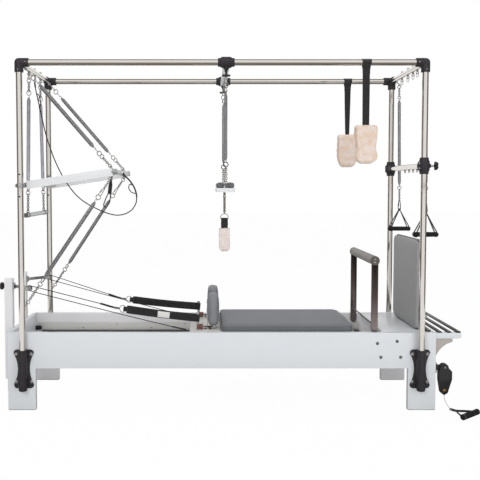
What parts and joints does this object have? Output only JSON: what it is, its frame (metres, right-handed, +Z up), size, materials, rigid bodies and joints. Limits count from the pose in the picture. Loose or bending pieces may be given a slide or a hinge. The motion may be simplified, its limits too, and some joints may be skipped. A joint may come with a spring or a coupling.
{
  "type": "pilates reformer with trapeze tower",
  "caption": "Reformer bed under a full steel trapeze frame, with sliding carriage, footbar, jump board, push-through bar, trapeze, springs, straps and ropes.",
  "frame": {"origin": "on the floor, at the middle of the whole unit's outer box without its free cords", "axes": "+X from the head end (rope pulleys) to the foot end (standing platform), +Y from the near side panel to the far one, +Z up"},
  "size_m": [2.9732, 0.927, 2.161],
  "materials": {
    "white_panel": "satin",
    "white_bar": "gloss",
    "polished_tube": "polished",
    "footbar_steel": "polished",
    "spring_steel": "satin",
    "black_casting": "satin",
    "clamp_aluminium": "satin",
    "carriage_board": "satin",
    "grey_vinyl": "matte",
    "board_vinyl": "matte",
    "foam_grip": "matte",
    "black_webbing": "matte",
    "cream_fleece": "matte"
  },
  "bodies": {
    "frame": {"side_panel_near": "white_panel", "side_panel_far": "white_panel", "head_panel": "white_panel", "foot_panel": "white_panel", "standing_platform": "white_panel", "post_head_near": "polished_tube", "post_head_far": "polished_tube", "post_foot_near": "polished_tube", "post_foot_far": "polished_tube", "post_socket_head_near": "black_casting", "post_socket_head_far": "black_casting", "post_socket_foot_near": "black_casting", "post_socket_foot_far": "black_casting", "top_rail_near": "polished_tube", "top_rail_far": "polished_tube", "head_cross_rail": "polished_tube", "foot_cross_rail": "polished_tube", "riser_near": "white_panel", "riser_far": "white_panel", "floor_handle": "black_webbing", "housing_wire": "spring_steel", "rope_near": "black_webbing", "rope_far": "black_webbing", "foot_strap_near": "black_webbing", "foot_strap_far": "black_webbing", "safety_cord": "black_webbing", "upper_spring_near": "spring_steel", "upper_spring_far": "spring_steel", "lower_spring_near": "spring_steel", "lower_spring_far": "spring_steel"},
    "carriage": {"carriage_frame": "carriage_board", "carriage_pad": "grey_vinyl", "shoulder_rest_near": "grey_vinyl", "shoulder_rest_far": "grey_vinyl"},
    "footbar": {"footbar_frame": "footbar_steel", "footbar_grip": "foam_grip"},
    "push_through_bar": {"push_bar": "white_bar"},
    "roll_down": {"roll_down_bar": "clamp_aluminium", "roll_down_spring_near": "spring_steel", "roll_down_spring_far": "spring_steel"},
    "trapeze_clamp": {"trapeze_carriage": "clamp_aluminium"},
    "trapeze": {"trapeze_bar": "white_panel", "trapeze_spring_near": "spring_steel", "trapeze_spring_far": "spring_steel"},
    "sling": {"trapeze_sling": "cream_fleece"},
    "fleece_near": {"fleece_strap_near": "cream_fleece"},
    "fleece_far": {"fleece_strap_far": "cream_fleece"},
    "sliding_bar": {"mid_bar": "clamp_aluminium"},
    "sliding_bar_knob": {"star_knob": "black_casting"},
    "hand_near": {"hand_grip_near": "black_webbing", "hand_spring_near": "spring_steel"},
    "hand_far": {"hand_grip_far": "black_webbing", "hand_spring_far": "spring_steel"},
    "pulley_near": {"pulley_arm_near": "clamp_aluminium"},
    "pulley_far": {"pulley_arm_far": "clamp_aluminium"},
    "wheel_near": {"sheave_near": "black_casting"},
    "wheel_far": {"sheave_far": "black_casting"},
    "pulley_knob": {"riser_knob": "black_casting"},
    "board": {"jump_board": "board_vinyl"},
    "housing": {"cord_housing": "black_casting"}
  },
  "joints": [
    {"name": "carriage_slide", "type": "slide", "parent": "frame", "child": "carriage", "axis": [1, 0, 0], "range_m": [-0.8, 0], "stiffness_N_per_m": 300, "springref_m": 0.1, "deforming": ["rope_near", "rope_far", "foot_strap_near", "foot_strap_far"]},
    {"name": "footbar_fold", "type": "hinge", "parent": "frame", "child": "footbar", "pos_m": [0.87401, 0.05953, 0.44], "axis": [0, 1, 0], "range_deg": [-68, 0]},
    {"name": "push_bar_hinge", "type": "hinge", "parent": "frame", "child": "push_through_bar", "pos_m": [-1.29399, 0.05953, 1.387], "axis": [0, 1, 0], "range_deg": [-30, 25], "stiffness_Nm_per_rad": 80, "springref_deg": -9.17, "deforming": ["upper_spring_near", "upper_spring_far", "lower_spring_near", "lower_spring_far", "safety_cord"]},
    {"name": "roll_down_swing", "type": "hinge", "parent": "frame", "child": "roll_down", "pos_m": [-1.29399, 0.05953, 2.068], "axis": [0, 1, 0], "range_deg": [-18, 25]},
    {"name": "trapeze_slide", "type": "slide", "parent": "frame", "child": "trapeze_clamp", "axis": [1, 0, 0], "range_m": [-0.45, 0.7]},
    {"name": "trapeze_swing", "type": "hinge", "parent": "trapeze_clamp", "child": "trapeze", "pos_m": [-0.04999, 0.05953, 2.06], "axis": [0, 1, 0], "range_deg": [-25, 25]},
    {"name": "sling_swivel", "type": "hinge", "parent": "trapeze", "child": "sling", "pos_m": [-0.04999, 0.05953, 1.34], "axis": [0, 0, 1], "continuous": true},
    {"name": "fleece_swing_near", "type": "hinge", "parent": "frame", "child": "fleece_near", "pos_m": [0.79101, -0.30047, 2.125], "axis": [1, 0, 0], "range_deg": [-35, 35]},
    {"name": "fleece_swing_far", "type": "hinge", "parent": "frame", "child": "fleece_far", "pos_m": [0.83301, 0.41953, 2.125], "axis": [1, 0, 0], "range_deg": [-35, 35]},
    {"name": "sliding_bar_lift", "type": "slide", "parent": "frame", "child": "sliding_bar", "axis": [0, 0, 1], "range_m": [-0.2, 0.35]},
    {"name": "sliding_bar_knob_turn", "type": "hinge", "parent": "sliding_bar", "child": "sliding_bar_knob", "pos_m": [1.19831, -0.30047, 1.506], "axis": [1, 0, 0], "continuous": true},
    {"name": "hand_swing_near", "type": "hinge", "parent": "frame", "child": "hand_near", "pos_m": [1.17601, -0.21847, 2.088], "axis": [1, 0, 0], "range_deg": [-2, 27]},
    {"name": "hand_swing_far", "type": "hinge", "parent": "frame", "child": "hand_far", "pos_m": [1.17601, 0.33753, 2.088], "axis": [1, 0, 0], "range_deg": [-27, 2]},
    {"name": "pulley_lift_near", "type": "slide", "parent": "frame", "child": "pulley_near", "axis": [0, 0, 1], "range_m": [-0.2, 0], "deforming": ["rope_near"]},
    {"name": "wheel_turn_near", "type": "hinge", "parent": "pulley_near", "child": "wheel_near", "pos_m": [-1.27699, -0.19247, 0.746], "axis": [0, 1, 0], "continuous": true},
    {"name": "pulley_lift_far", "type": "slide", "parent": "frame", "child": "pulley_far", "axis": [0, 0, 1], "range_m": [-0.2, 0], "deforming": ["rope_far"]},
    {"name": "wheel_turn_far", "type": "hinge", "parent": "pulley_far", "child": "wheel_far", "pos_m": [-1.27699, 0.31153, 0.746], "axis": [0, 1, 0], "continuous": true},
    {"name": "pulley_knob_turn", "type": "hinge", "parent": "pulley_near", "child": "pulley_knob", "pos_m": [-1.45659, -0.09747, 0.746], "axis": [1, 0, 0], "continuous": true},
    {"name": "board_lift", "type": "slide", "parent": "frame", "child": "board", "axis": [0, 0, 1], "range_m": [0, 0.12]},
    {"name": "housing_swing", "type": "hinge", "parent": "frame", "child": "housing", "pos_m": [1.30401, -0.25497, 0.264], "axis": [0, 1, 0], "range_deg": [-15, 8], "deforming": ["housing_wire"]}
  ]
}
